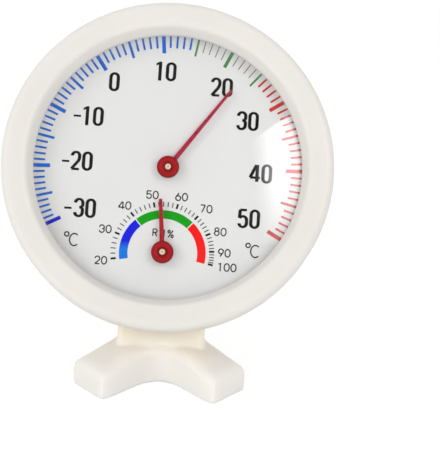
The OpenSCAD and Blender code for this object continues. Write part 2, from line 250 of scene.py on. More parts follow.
def flat_shape(name, outlines, thickness, base=0.0, rounding=0.0):
    """Closed outlines, in millimetres, filled and given a thickness above a base height."""
    drawn = flat_lines(outlines)
    drawn.data.fill_mode = "BOTH"
    drawn.data.extrude = thickness / 2 - rounding
    drawn.data.bevel_depth = rounding
    drawn.data.bevel_resolution = 2
    drawn.data.offset = -rounding
    piece = as_mesh(name, drawn)
    settle(piece, Matrix.Translation((0, 0, base + thickness / 2)))
    return piece


core_corners = ((11.6, -11.2), (16.4, -4.9), (12.4, -0.6), (7.4, -6.2))
core_depth, below_floor = 4, -1
tail_core_x, tail_core_half, tail_core_round = 3.85, 3.05, 0.8
tail_core_front, tail_core_back = 10, 19
for side in (-1, 1):
    toe_plan = [(side * x, y) for x, y in core_corners]
    toe_core = flat_shape("toe_core", [toe_plan], core_depth - below_floor, below_floor)
    settle(toe_core, Matrix.Scale(mm, 4))
    combine(foot, toe_core, "DIFFERENCE")
    tail_low = (side * tail_core_x - tail_core_half, tail_core_front, below_floor)
    tail_high = (side * tail_core_x + tail_core_half, tail_core_back, core_depth)
    combine(foot, block("tail_core", tail_low, tail_high, tail_core_round, "z"), "DIFFERENCE")
apply_modifier(foot, "REMESH", mode="VOXEL", voxel_size=stand_voxel)
apply_modifier(foot, "SMOOTH", factor=0.5, iterations=softening_passes)
for vertex in foot.data.vertices:
    vertex.co.z = max(vertex.co.z, 0)


def arc(middle, radius, start, end, steps):
    """Points (radius, height) on an arc of a turned outline, with angles in degrees."""
    turns = [math.radians(start + (end - start) * i / steps) for i in range(steps + 1)]
    return [(middle[0] + radius * math.cos(a), middle[1] + radius * math.sin(a)) for a in turns]


def turned(name, outline, steps=192):
    """A closed outline of (radius, height) points in millimetres, spun round the Z axis.

    The spin leaves its faces in any order, so they are sorted by their distance from a point off the axis.
    """
    points = [Vector((r, 0, z)) * mm for r, z in outline]
    bpy.ops.mesh.primitive_plane_add(size=0.1 * mm, location=points[0])
    piece = bpy.context.object
    piece.name = name
    bpy.ops.object.transform_apply(location=True, rotation=True, scale=True)
    edit(piece)
    bpy.ops.mesh.merge(type="CENTER")
    for near, far in zip(points, points[1:] + points[:1]):
        bpy.ops.mesh.extrude_region_move(TRANSFORM_OT_translate={"value": far - near})
    bpy.ops.mesh.select_all(action="SELECT")
    bpy.ops.mesh.spin(steps=steps, angle=2 * math.pi, center=(0, 0, 0), axis=(0, 0, 1))
    weld(piece)
    edit(piece)
    off_axis = Vector((11, 23, 37)) * mm
    bpy.context.scene.cursor.location = off_axis
    bpy.ops.mesh.sort_elements(type="CURSOR_DISTANCE", elements={"EDGE", "FACE"})
    bpy.context.scene.cursor.location = (0, 0, 0)
    bpy.ops.object.mode_set(mode="OBJECT")
    return piece


shoulder_r, shoulder_z, back_r, back_round, back_z = 35.4, -8.1, 34, 2, -20
saddle_gap = 0.2
saddle_outline = (
    [(0, shoulder_z), (shoulder_r + saddle_gap, shoulder_z)]
    + arc((back_r - back_round, back_z + back_round), back_round + saddle_gap, 0, -90, 6)
    + [(0, back_z - saddle_gap)]
)
saddle = turned("saddle", saddle_outline)
settle(saddle, case_place)
combine(foot, saddle, "DIFFERENCE")
tongue_low, tongue_high, tongue_round = (-7, -37, -17.4), (7, -25.2, -13.8), 0.5
tongue = block("tongue", tongue_low, tongue_high, tongue_round, segments=3)
settle(tongue, case_place)
combine(foot, tongue, "UNION")
smooth(foot, 40)


def shader_of(name):
    """A new material, with its tree and its shader."""
    material = bpy.data.materials.new(name)
    material.use_nodes = True
    tree = material.node_tree
    return material, tree, tree.nodes["Principled BSDF"]


def link(tree, source, target):
    tree.links.new(source, target)


def cloud(tree, scale, detail=3):
    """Soft noise on Object coordinates, with about this many spots to the metre."""
    place = tree.nodes.new("ShaderNodeTexCoord")
    noise = tree.nodes.new("ShaderNodeTexNoise")
    noise.inputs["Scale"].default_value = scale
    noise.inputs["Detail"].default_value = detail
    link(tree, place.outputs["Object"], noise.inputs["Vector"])
    return noise.outputs["Fac"]


def graded(tree, value, stops, target):
    """A colour ramp from a value to a socket. Stops are (place, colour)."""
    ramp = tree.nodes.new("ShaderNodeValToRGB")
    band = ramp.color_ramp
    for i, (place, colour) in enumerate(stops):
        stop = band.elements[i] if i < 2 else band.elements.new(place)
        stop.position = place
        stop.color = (*colour, 1)
    link(tree, value, ramp.inputs["Fac"])
    link(tree, ramp.outputs["Color"], target)


def between(tree, value, low, high, target):
    """A value from 0 to 1 spread between two numbers."""
    spread = tree.nodes.new("ShaderNodeMapRange")
    spread.inputs["To Min"].default_value = low
    spread.inputs["To Max"].default_value = high
    link(tree, value, spread.inputs["Value"])
    link(tree, spread.outputs["Result"], target)


def grain(tree, shader, height, strength, depth):
    """Fine relief from a height value."""
    bump = tree.nodes.new("ShaderNodeBump")
    bump.inputs["Strength"].default_value = strength
    bump.inputs["Distance"].default_value = depth
    link(tree, height, bump.inputs["Height"])
    link(tree, bump.outputs["Normal"], shader.inputs["Normal"])


def moulded_white(name, colour):
    """Satin moulded plastic: faintly cloudy, with a fine spark-eroded grain and a little depth."""
    material, tree, shader = shader_of(name)
    cloudy = tuple(0.975 * part for part in colour)
    graded(tree, cloud(tree, 45), [(0.35, cloudy), (0.65, colour)], shader.inputs["Base Color"])
    between(tree, cloud(tree, 180, 5), 0.34, 0.46, shader.inputs["Roughness"])
    grain(tree, shader, cloud(tree, 5200, 2), 0.12, 0.02 * mm)
    shader.inputs["IOR"].default_value = 1.5
    shader.inputs["Subsurface Weight"].default_value = 0.35
    shader.inputs["Subsurface Radius"].default_value = (1, 0.75, 0.5)
    shader.inputs["Subsurface Scale"].default_value = 3 * mm
    return material


def between_heights(tree, low_z, high_z):
    """A value that climbs from 0 to 1 between two heights on the object."""
    place = tree.nodes.new("ShaderNodeTexCoord")
    parts = tree.nodes.new("ShaderNodeSeparateXYZ")
    climb = tree.nodes.new("ShaderNodeMapRange")
    climb.inputs["From Min"].default_value = low_z
    climb.inputs["From Max"].default_value = high_z
    link(tree, place.outputs["Object"], parts.inputs["Vector"])
    link(tree, parts.outputs["Z"], climb.inputs["Value"])
    return climb.outputs["Result"]


def over_colour(material, blend):
    """A mix laid over a material's base colour. Returns its sockets by name."""
    tree = material.node_tree
    base = tree.nodes["Principled BSDF"].inputs["Base Color"]
    mix = tree.nodes.new("ShaderNodeMix")
    mix.data_type = "RGBA"
    mix.blend_type = blend
    sockets = {socket.identifier: socket for socket in (*mix.inputs, *mix.outputs)}
    link(tree, base.links[0].from_socket, sockets["A_Color"])
    link(tree, sockets["Result_Color"], base)
    return sockets


def paint_warm_light(material, value, tint):
    """Painted warm light: the base colour turns to a warm, paler tint where a value is 1, for light that
    bounces into the neck under the case and glows through its plastic.
    """
    sockets = over_colour(material, "MIX")
    sockets["B_Color"].default_value = (*tint, 1)
    link(material.node_tree, value, sockets["Factor_Float"])


# The stand has the case's plastic with a paler base colour. This is painted light, for the stronger light
# from the floor on the low stand.
stand_plastic = moulded_white("stand_plastic", (0.86, 0.83, 0.785))
# Painted warm light on the neck: from the top of the feet upwards, the stand's colour turns warm and pale.
painted_light_low, painted_light_high, painted_light_tint = 6 * mm, 11 * mm, (0.98, 0.885, 0.745)
paint_warm_light(stand_plastic, between_heights(stand_plastic.node_tree, painted_light_low, painted_light_high), painted_light_tint)
foot.data.materials.append(stand_plastic)
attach(foot, "stand")
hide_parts("stand_foot")

# Front bezel
# The front ring of the case, in the same white plastic: a funnel down to the lens, a flat land, a
# round outer edge, and a skirt that snaps over the rear shell by a bead all round.
case_r, edge_round, crest_r, crest_round = 37, 2, 32.5, 1.6
window_r, lip_round, lip_back, lip_front = 30, 0.3, -4, -3.1
skirt_r, skirt_z, skirt_round, inner_round = 34.75, -8, 0.6, 0.2
bead_r, bead_low, bead_high, bead_slope = 35.05, -7, -6.1, 0.2
bezel_outline = (
    [(window_r, lip_back)] + arc((window_r + lip_round, lip_front), lip_round, 180, 153, 3)
    + arc((crest_r, -crest_round), crest_round, 152, 90, 10)
    + arc((case_r - edge_round, -edge_round), edge_round, 90, 0, 16)
    + arc((case_r - skirt_round, skirt_z + skirt_round), skirt_round, 0, -90, 6)
    + [(skirt_r + inner_round, skirt_z)]
    + arc((skirt_r + inner_round, skirt_z + inner_round), inner_round, -90, -180, 3)
    + [(skirt_r, bead_low), (bead_r, bead_low + bead_slope), (bead_r, bead_high - bead_slope)]
    + [(skirt_r, bead_high), (skirt_r, lip_back)]
)
bezel = turned("front_bezel_ring", bezel_outline, 256)
settle(bezel, case_place)
smooth(bezel, 35)
# The case has the stand's plastic with a darker base colour. The difference between the two is painted light
# and shade.
case_plastic = moulded_white("case_plastic", (0.775, 0.752, 0.715))
bezel.data.materials.append(case_plastic)
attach(bezel, "case")
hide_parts("front_bezel")

# Rear shell
# A moulded tub that the dial and its movements sit in: vent slots that let the air in to the coils,
# a keyhole for a wall screw, and a socket at the bottom for the tongue of the stand.
fit = 0.1
rim_r, rim_z, rim_chamfer = skirt_r - fit, lip_back - fit, 0.3
shoulder_round, floor_round, floor_r, floor_z = 0.2, 1, 31.4, -18.4
seat_r, seat_wall_r, seat_z = 33.3, 32, -6.9
shell_outline = (
    [(seat_r, rim_z), (rim_r - rim_chamfer, rim_z), (rim_r, rim_z - rim_chamfer), (rim_r, bead_high)]
    + [(bead_r - fit, bead_high - bead_slope), (bead_r - fit, bead_low + bead_slope)]
    + [(rim_r, bead_low), (rim_r, shoulder_z)]
    + arc((shoulder_r - shoulder_round, shoulder_z - shoulder_round), shoulder_round, 90, 5, 3)
    + arc((back_r - back_round, back_z + back_round), back_round, 5, -90, 12)
    + [(0, back_z), (0, floor_z)]
    + arc((floor_r - floor_round, floor_z + floor_round), floor_round, -90, 0, 6)
    + [(seat_wall_r, seat_z), (seat_r, seat_z)]
)
shell = turned("rear_shell_tub", shell_outline, 256)
wall_low, wall_high, wall_round = (-8.3, -32.6, -19.2), (8.3, -23.6, -12.5), 0.8
socket_low, socket_high, socket_round = (-7.1, -37, -17.5), (7.1, -24.7, -13.7), 0.4
combine(shell, block("socket_wall", wall_low, wall_high, wall_round, segments=4), "UNION")
combine(shell, block("socket", socket_low, socket_high, socket_round, segments=3), "DIFFERENCE")
cutter_height, cutter_z = 4, -21.5


def slot_cutter(x, low, high, width):
    """A slot with round ends through the back wall."""
    ends = arc((x, high), width / 2, 0, 180, 16) + arc((x, low), width / 2, 180, 360, 16)
    cutter = flat_shape("slot", [ends], cutter_height, cutter_z)
    settle(cutter, Matrix.Scale(mm, 4))
    return cutter


vent_count, vent_pitch, vent_width, vent_field, vent_middle = 7, 4.2, 1.8, 14.5, -3
for i in range(vent_count):
    x = (i - (vent_count - 1) / 2) * vent_pitch
    half = math.sqrt(vent_field ** 2 - x ** 2) - vent_width / 2
    combine(shell, slot_cutter(x, vent_middle - half, vent_middle + half, vent_width), "DIFFERENCE")
key_y, key_slot_top, key_slot_width, key_entry_r = 21, 27.5, 4, 4
combine(shell, slot_cutter(0, key_y, key_slot_top, key_slot_width), "DIFFERENCE")
key_entry = flat_shape("key_entry", [arc((0, key_y), key_entry_r, 0, 354, 59)], cutter_height, cutter_z)
settle(key_entry, Matrix.Scale(mm, 4))
combine(shell, key_entry, "DIFFERENCE")

# The flat back is made one face again, so that the rounding of its openings has room
openings_r, opening_round, hair, sharp_turn = 31.5 * mm, 0.25 * mm, 1e-6, 1.0
edit(shell)
bpy.ops.mesh.dissolve_limited(angle_limit=math.radians(0.5))
bpy.ops.mesh.select_all(action="DESELECT")
shell_mesh = bmesh.from_edit_mesh(shell.data)
for rim in shell_mesh.edges:
    at_back = all(abs(vertex.co.z - back_z * mm) < hair for vertex in rim.verts)
    inside = all(math.hypot(vertex.co.x, vertex.co.y) < openings_r for vertex in rim.verts)
    if at_back and inside and len(rim.link_faces) == 2 and rim.calc_face_angle() > sharp_turn:
        rim.select_set(True)
bpy.ops.mesh.bevel(offset=opening_round, segments=3, affect="EDGES")
bpy.ops.object.mode_set(mode="OBJECT")
settle(shell, case_place)
smooth(shell, 35)
apply_modifier(shell, "WEIGHTED_NORMAL", keep_sharp=True)
shell.data.materials.append(case_plastic)
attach(shell, "case")
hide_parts("rear_shell")

# Lens
# A clear polystyrene dome, thin and shallow, that springs from a flange under the bezel's lip. The
# foot of the flange holds the dial in its seat.
dome_edge_r, dome_top, dome_rise, lens_thickness = 29.9, -1.2, 2.8, 1.0
dome_r = (dome_edge_r ** 2 + dome_rise ** 2) / (2 * dome_rise)
flange_r, flange_inner_r, flange_top, flange_low = 33.2, 31.6, -4.02, -6.4


def dome(radius, start_r, end_r, steps):
    """Points on the dome between two distances from its middle."""
    middle_z = dome_top - dome_r
    radii = [start_r + (end_r - start_r) * i / steps for i in range(steps + 1)]
    return [(r, middle_z + math.sqrt(radius ** 2 - r ** 2)) for r in radii]


lens_outline = (
    dome(dome_r, 0, dome_edge_r, 24)
    + [(flange_r, flange_top), (flange_r, flange_low)]
    + [(flange_inner_r, flange_low), (flange_inner_r, flange_top - lens_thickness)]
    + dome(dome_r - lens_thickness, dome_edge_r - 0.1, 0, 24)
)
lens = turned("domed_lens", lens_outline, 192)
settle(lens, case_place)
smooth(lens, 6)


def reckoned(tree, operation, *parts):
    """A sum on shader values. Each part is a socket or a number."""
    node = tree.nodes.new("ShaderNodeMath")
    node.operation = operation
    for part, socket in zip(parts, node.inputs):
        if isinstance(part, bpy.types.NodeSocket):
            link(tree, part, socket)
        else:
            socket.default_value = part
    return node.outputs["Value"]


def either_shader(tree, factor, plain, other, target):
    """One shader where a factor is 0, and the other where it is 1."""
    choice = tree.nodes.new("ShaderNodeMixShader")
    link(tree, factor, choice.inputs["Fac"])
    link(tree, plain, choice.inputs[1])
    link(tree, other, choice.inputs[2])
    link(tree, choice.outputs["Shader"], target)


def clear_plastic(name):
    """Clear plastic with a very faint haze. Light on its way to the dial goes straight through."""
    material, tree, shader = shader_of(name)
    shader.inputs["Base Color"].default_value = (1, 0.998, 0.994, 1)
    shader.inputs["Transmission Weight"].default_value = 1
    shader.inputs["IOR"].default_value = 1.49
    between(tree, cloud(tree, 60), 0.015, 0.035, shader.inputs["Roughness"])
    path = tree.nodes.new("ShaderNodeLightPath")
    passed = tree.nodes.new("ShaderNodeBsdfTransparent")
    lighting = reckoned(tree, "MAXIMUM", path.outputs["Is Shadow Ray"], path.outputs["Is Diffuse Ray"])
    surface = tree.nodes["Material Output"].inputs["Surface"]
    either_shader(tree, lighting, shader.outputs["BSDF"], passed.outputs["BSDF"], surface)
    return material


lens.data.materials.append(clear_plastic("clear_lens"))
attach(lens, "case")
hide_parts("lens")

# Dial
# A thin sheet disc in pale grey enamel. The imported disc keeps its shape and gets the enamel.
dial_turn = math.radians(-1.3)
temperature_middle = Vector(joints["temperature_turn"]["pos_m"])
humidity_middle = Vector(joints["humidity_turn"]["pos_m"])
dial_rotation = Matrix.Rotation(math.pi / 2 - lean, 4, "X") @ Matrix.Rotation(dial_turn, 4, "Z")
temperature_place = Matrix.Translation(temperature_middle) @ dial_rotation
humidity_place = Matrix.Translation(humidity_middle) @ dial_rotation


def enamel(name, colour):
    """Stoved enamel: a soft orange peel and a slight change of gloss over the sheet."""
    material, tree, shader = shader_of(name)
    deeper = tuple(0.97 * part for part in colour)
    graded(tree, cloud(tree, 30), [(0.3, deeper), (0.7, colour)], shader.inputs["Base Color"])
    between(tree, cloud(tree, 90), 0.38, 0.5, shader.inputs["Roughness"])
    grain(tree, shader, cloud(tree, 1400, 2), 0.08, 0.02 * mm)
    return material


dial_plate = frame["nodes"]["dial_plate"]
dial_plate.data.materials.clear()
dial_plate.data.materials.append(enamel("dial_enamel", (0.785, 0.787, 0.782)))


# Printed temperature scale
# A mark for each degree from -30 to 50, screen printed: blue up to 14, thin grey and green in the
# comfort range, and red from 26. The tens are widest and the fives as long.
ink_depth, ink_sink = 0.03, 0.005


def on_circle(radius, degrees):
    a = math.radians(degrees)
    return Vector((radius * math.cos(a), radius * math.sin(a)))


def bar(inner, outer, width, degrees):
    """Outline of a mark that lies along a radius."""
    along = on_circle(1, degrees)
    across = Vector((-along.y, along.x)) * width / 2
    return [along * inner - across, along * outer - across, along * outer + across, along * inner + across]


def temperature_angle(t):
    """Where a temperature stands on the dial. The degrees get wider from the cold end to the hot one."""
    return 125.66 - 2.9535 * t - 0.0050 * t ** 2 + 0.000044 * t ** 3


def temperature_mark(t):
    """Colour and outline of the mark for one degree."""
    outer, long, short = 30.25, 3.85, 2.65
    colour = "blue" if t < 15 else "red" if t > 25 else "grey" if t % 5 else "green"
    if t == -30:
        colour = "deep_blue"
    length = short if t % 5 else long
    widths = {"grey": 0.22, "green": 0.46 if t % 10 else 0.76}
    width = widths.get(colour, 0.46 if t % 5 else 0.58 if t % 10 else 0.86)
    return colour, bar(outer - length, outer, width, temperature_angle(t))


def ink(name, colour, share=0.82):
    """Screen printing ink: flat, slightly uneven in strength and gloss."""
    material, tree, shader = shader_of(name)
    worn = tuple(share * part + (1 - share) * 0.25 for part in colour)
    graded(tree, cloud(tree, 900, 4), [(0.25, worn), (0.5, colour)], shader.inputs["Base Color"])
    between(tree, cloud(tree, 2500), 0.4, 0.55, shader.inputs["Roughness"])
    shader.inputs["Specular IOR Level"].default_value = 0.15
    return material


inks = {
    "blue": ink("ink_blue", (0.016, 0.15, 0.64), 0.96),
    "deep_blue": ink("ink_deep_blue", (0.012, 0.02, 0.60), 0.97),
    "green": ink("ink_green", (0.075, 0.27, 0.085), 0.9),
    "grey": ink("ink_grey", (0.22, 0.215, 0.19)),
    "red": ink("ink_red", (0.62, 0.035, 0.03), 0.93),
}
marks = {colour: [] for colour in inks}
for t in range(-30, 51):
    colour, outline = temperature_mark(t)
    marks[colour].append(outline)


def print_on_dial(piece, place, material):
    """A print in millimetres laid on the dial's face with its ink."""
    settle(piece, place @ Matrix.Translation((0, 0, -ink_sink * mm)) @ Matrix.Scale(mm, 4))
    piece.data.materials.append(material)
    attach(piece, "case")


for colour, outlines in marks.items():
    scale = flat_shape(f"temperature_scale_{colour}", outlines, ink_depth)
    print_on_dial(scale, temperature_place, inks[colour])

# Printed humidity scale
# Three curved fields, dry, comfortable and damp, inside fine marks for every two percent.


def humidity_angle(h):
    """Where a humidity stands on the dial. The marks crowd together towards the damp end."""
    u = (h - 20) / 80
    return 189.9 - 247.5 * u + 74.9 * u ** 2 - 112.4 * u ** 3 + 85 * u ** 4


def field(inner, outer, start, end):
    """Outline of a curved field between two angles."""
    steps = 40
    turns = [start + (end - start) * i / steps for i in range(steps + 1)]
    return [on_circle(outer, a) for a in turns] + [on_circle(inner, a) for a in turns[::-1]]


field_inner, field_outer, field_gap = 7.75, 9.65, 0.8
field_ends = (191.9, 131.7, 48.6, -10.9)


def field_ink(name, low_colour, high_colour, low_z, high_z):
    """Ink that changes from one colour to another between two heights."""
    material, tree, shader = shader_of(name)
    climb = between_heights(tree, low_z, high_z)
    graded(tree, climb, [(0, low_colour), (1, high_colour)], shader.inputs["Base Color"])
    between(tree, cloud(tree, 2500), 0.38, 0.5, shader.inputs["Roughness"])
    shader.inputs["Specular IOR Level"].default_value = 0.15
    return material


scale_z = humidity_middle.z
fields = {
    "dry": ((0.003, 0.19, 0.74), (0.002, 0.008, 0.72), scale_z + 0.6 * mm, scale_z + 2.2 * mm),
    "comfort": ((0.001, 0.37, 0.002), (0.001, 0.33, 0.002), scale_z, scale_z + 9 * mm),
    "damp": ((0.90, 0.012, 0.01), (0.90, 0.002, 0.001), scale_z - 2 * mm, scale_z + 4 * mm),
}
for (name, colours), start, end in zip(fields.items(), field_ends, field_ends[1:]):
    inset_start = start - (field_gap if start != field_ends[0] else 0)
    inset_end = end + (field_gap if end != field_ends[-1] else 0)
    curved = field(field_inner, field_outer, inset_start, inset_end)
    strip = flat_shape(f"humidity_field_{name}", [curved], ink_depth)
    print_on_dial(strip, humidity_place, field_ink(f"ink_{name}", *colours))

black_ink = ink("ink_black", (0.006, 0.006, 0.006), 0.995)
soft_black_ink = ink("ink_soft_black", (0.025, 0.025, 0.026), 0.97)
marks_outer, tens_inner, tens_width, twos_inner, twos_width = 11.55, 10.4, 0.44, 10.45, 0.22
tens = [bar(tens_inner, marks_outer, tens_width, humidity_angle(h)) for h in range(20, 101, 10)]
twos = [bar(twos_inner, marks_outer, twos_width, humidity_angle(h)) for h in range(20, 101, 2) if h % 10]
for name, outlines, material in (("tens", tens, black_ink), ("twos", twos, soft_black_ink)):
    fine = flat_shape(f"humidity_marks_{name}", outlines, ink_depth)
    print_on_dial(fine, humidity_place, material)

# Printed figures
# Drawn with a pen along their centre lines: tall narrow bold figures for the temperatures, and small
# round light ones, with the letters of the units, for the rest.


def bow(x, y, rx, ry, start, end, steps=14):
    """Points on an oval arc."""
    turns = [math.radians(start + (end - start) * i / steps) for i in range(steps + 1)]
    return [(x + rx * math.cos(a), y + ry * math.sin(a)) for a in turns]


def strokes(sign, a, h, ry):
    """Centre lines of a sign: half width a, height h, and bows of height ry at its top and bottom."""
    top, low = h / 2, -h / 2
    crown = bow(0, top - ry, a, ry, 180, 0)
    if sign == "0":
        return [bow(0, top - ry, a, ry, 0, 180) + bow(0, low + ry, a, ry, 180, 360) + [(a, top - ry)]]
    if sign == "1":
        stem = [(0.15 * a, low - 0.06 * h), (0.15 * a, top + 0.06 * h)]
        return [stem, [(0.15 * a, top), (-0.95 * a, top - 0.13 * h)]]
    if sign == "2":
        bend = [(a, 0.2 * h), (0.93 * a, 0.1 * h), (0.7 * a, -0.02 * h), (-a, low)]
        return [crown + bend, [(-a, low), (1.02 * a, low)]]
    if sign == "3":
        waist = 0.24 * h * 0.6
        upper = crown + bow(0.1 * a, 0.02 * h + waist, 0.9 * a, waist, 0, -90)
        lower = bow(0.1 * a, 0.02 * h - waist, 0.9 * a, waist, 90, 0) + bow(0, low + ry, a, ry, 0, -180)
        return [upper, lower]
    if sign == "4":
        crossbar = [(-1.3 * a, low + 0.24 * h), (1.35 * a, low + 0.24 * h)]
        return [[(0.3 * a, top), crossbar[0]], crossbar, [(0.55 * a, top), (0.55 * a, low)]]
    if sign == "5":
        bowl = bow(0, 0.13 * h - ry, a, ry, 155, 0) + bow(0, low + ry, a, ry, 0, -175)
        return [[(-0.85 * a, top), (0.95 * a, top)], [(-0.85 * a, top), (-0.95 * a, 0.02 * h)], bowl]
    if sign in "69":
        flip = 1 if sign == "6" else -1
        ring = bow(0, low + 0.31 * h, a, 0.31 * h, 0, 360, 24)
        tail = [(-0.93 * a, low + 0.42 * h), (0.25 * a, top)]
        return [[(flip * x, flip * y) for x, y in line] for line in (ring, tail)]
    if sign == "7":
        return [[(-a, top), (a, top)], [(a, top), (-0.35 * a, low)]]
    if sign == "8":
        upper = bow(0, top - 0.22 * h, 0.82 * a, 0.22 * h, 0, 360, 22)
        return [upper, bow(0, low + 0.28 * h, a, 0.28 * h, 0, 360, 24)]
    if sign == "-":
        return [[(-a, 0), (a, 0)]]
    if sign == "o":
        return [bow(0, 0, a, a, 0, 360, 20)]
    if sign == "C":
        return [bow(0, 0, a, h / 2, 48, 312, 24)]
    if sign == "R":
        bowl = bow(0.2 * a, top - 0.25 * h, 0.8 * a, 0.25 * h, 90, -90)
        head = [(-a, top), (0.2 * a, top)] + bowl + [(-a, 0)]
        return [[(-a, low), (-a, top)], head, [(0, 0), (a, low)]]
    if sign == "H":
        return [[(-a, low), (-a, top)], [(a, low), (a, top)], [(-a, 0), (a, 0)]]
    high_ring = bow(-0.6 * a, top - 0.18 * h, 0.35 * a, 0.18 * h, 0, 360, 14)
    low_ring = bow(0.6 * a, low + 0.18 * h, 0.35 * a, 0.18 * h, 0, 360, 14)
    return [high_ring, [(-0.8 * a, low), (0.8 * a, top)], low_ring]


def pen_line(points, nib):
    """One stroke of a square pen, as a closed solid."""
    closed = (Vector(points[0]) - Vector(points[-1])).length < 1e-4
    if closed:
        points = points[:-1]
    stroke = flat_lines([points], closed)
    stroke.data.bevel_mode = "OBJECT"
    stroke.data.bevel_object = nib
    stroke.data.use_fill_caps = True
    return as_mesh("stroke", stroke)


def pen(width):
    """A rectangular nib for strokes of this width."""
    half, depth = width / 2, ink_depth / 2
    return flat_lines([[(-half, -depth), (half, -depth), (half, depth), (-half, depth)]])


def drawn_sign(sign, a, h, ry, nib, flatten=1.0):
    """A sign as one solid round the origin. Drawn taller and flattened, its level strokes are thinner."""
    parts = [pen_line(line, nib) for line in strokes(sign, a, h / flatten, ry / flatten)]
    whole = parts[0]
    for part in parts[1:]:
        combine(whole, part, "UNION")
    settle(whole, Matrix.Diagonal((1, flatten, 1, 1)))
    return whole


def lettering(name, words, place, material, spacing, shapes):
    """Signs set on the dial and joined into one print. words holds (text, x, y) in millimetres."""
    copies = []
    for text, x, y in words:
        for i, sign in enumerate(text):
            copy = shapes[sign].copy()
            copy.data = shapes[sign].data.copy()
            bpy.context.collection.objects.link(copy)
            settle(copy, Matrix.Translation((x + (i - (len(text) - 1) / 2) * spacing, y, ink_depth / 2)))
            copies.append(copy)
    deselect()
    for copy in copies:
        copy.select_set(True)
    bpy.context.view_layer.objects.active = copies[0]
    bpy.ops.object.join()
    printed = bpy.context.object
    printed.name = name
    print_on_dial(printed, place, material)


bold_nib, light_nib, unit_nib = pen(0.74), pen(0.27), pen(0.3)
bold = {sign: drawn_sign(sign, 0.83, 3.85, 0.86, bold_nib, 0.74) for sign in "02345"}
stem_left, stem_right, flag_left, half_height = -0.24, 0.5, -0.8, 2.19
bold_one = [
    (stem_left, -half_height), (stem_right, -half_height), (stem_right, half_height), (0, half_height),
    (flag_left, half_height - 0.42), (flag_left, half_height - 0.95), (stem_left, half_height - 0.72),
]
bold["1"] = flat_shape("one", [bold_one], ink_depth, -ink_depth / 2)
bold["-"] = drawn_sign("-", 0.82, 1, 1, pen(0.46))
light = {sign: drawn_sign(sign, 0.52, 1.68, 0.5, light_nib) for sign in "2345789"}
light["0"] = drawn_sign("0", 0.56, 1.68, 0.8, light_nib)
light["1"] = drawn_sign("1", 0.4, 1.68, 0.5, light_nib)
light["6"] = drawn_sign("6", 0.55, 1.68, 0.5, light_nib)
units = {"o": drawn_sign("o", 0.48, 1, 1, unit_nib), "C": drawn_sign("C", 1.05, 2.7, 1, unit_nib)}
letters = {sign: drawn_sign(sign, 0.44, 1.6, 0.5, light_nib) for sign in "RH"}
letters["%"] = drawn_sign("%", 0.62, 1.6, 0.5, light_nib)

temperature_words = [
    ("30", -17.95, -10.2), ("20", -19.45, 0.4), ("10", -17.75, 10.75), ("0", -13.4, 18.95),
    ("10", -2.1, 22.1), ("20", 10.85, 19.3), ("30", 17.15, 11.95), ("40", 20.85, 0.15),
    ("50", 18.75, -10.25), ("-", -21.7, -10.4), ("-", -23.0, 0.15), ("-", -21.15, 10.6),
]
humidity_words = [
    ("20", -13.55, -2.45), ("30", -13.05, 4.6), ("40", -9.05, 10.15), ("50", -3.1, 12.95),
    ("60", 3.45, 12.9), ("70", 9.1, 10.55), ("80", 12.55, 5.6), ("90", 13.75, 0.9), ("100", 14.5, -2.3),
]
unit_words = [("o", -21.5, -16.3), ("C", -19.75, -17.45), ("o", 18.95, -16.25), ("C", 20.65, -17.5)]
letter_words = [("R", -1.95, 4.5), ("H", -0.35, 4.5), ("%", 1.55, 4.4)]
lettering("temperature_figures", temperature_words, temperature_place, black_ink, 2.62, bold)
lettering("humidity_figures", humidity_words, humidity_place, soft_black_ink, 1.5, light)
lettering("celsius_signs", unit_words, temperature_place, soft_black_ink, 0, units)
lettering("percent_sign", letter_words, humidity_place, soft_black_ink, 0, letters)
for pattern in (*bold.values(), *light.values(), *units.values(), *letters.values()):
    bpy.data.objects.remove(pattern)
for nib in [thing for thing in bpy.data.objects if thing.type == "CURVE"]:
    bpy.data.objects.remove(nib)

# Pointers
# Stamped from thin strip and lacquered red. Each tapers to its tip, and its eye goes over the boss of
# the cap, so that cap, pointer and spindle turn together.
needle_z, needle_thickness, needle_edge = 1.15, 0.3, 0.07


def pointer(name, reach, root, tip, degrees, place):
    """A tapered pointer with a round eye, at its height over the dial."""
    eye = 2.0
    spread = math.degrees(math.asin(root / 2 / eye))
    outline = [on_circle(eye, a) for a in [spread + (360 - 2 * spread) * i / 40 for i in range(41)]]
    outline += [Vector((reach - tip / 4, -tip / 2)), Vector((reach, -tip / 4)), Vector((reach, tip / 4)),
                Vector((reach - tip / 4, tip / 2))]
    piece = flat_shape(name, [outline], needle_thickness, needle_z, needle_edge)
    turn = Matrix.Rotation(math.radians(degrees), 4, "Z")
    settle(piece, place @ turn @ Matrix.Scale(mm, 4))
    smooth(piece, 40)
    return piece


def lacquer(name, colour, deeper):
    """Glossy red lacquer over metal, a little deeper in patches."""
    material, tree, shader = shader_of(name)
    graded(tree, cloud(tree, 260), [(0.35, deeper), (0.65, colour)], shader.inputs["Base Color"])
    between(tree, cloud(tree, 1500), 0.22, 0.34, shader.inputs["Roughness"])
    shader.inputs["Coat Weight"].default_value = 0.4
    shader.inputs["Coat Roughness"].default_value = 0.12
    return material


pointer_red = lacquer("pointer_red", (0.42, 0.0015, 0.014), (0.35, 0.001, 0.01))
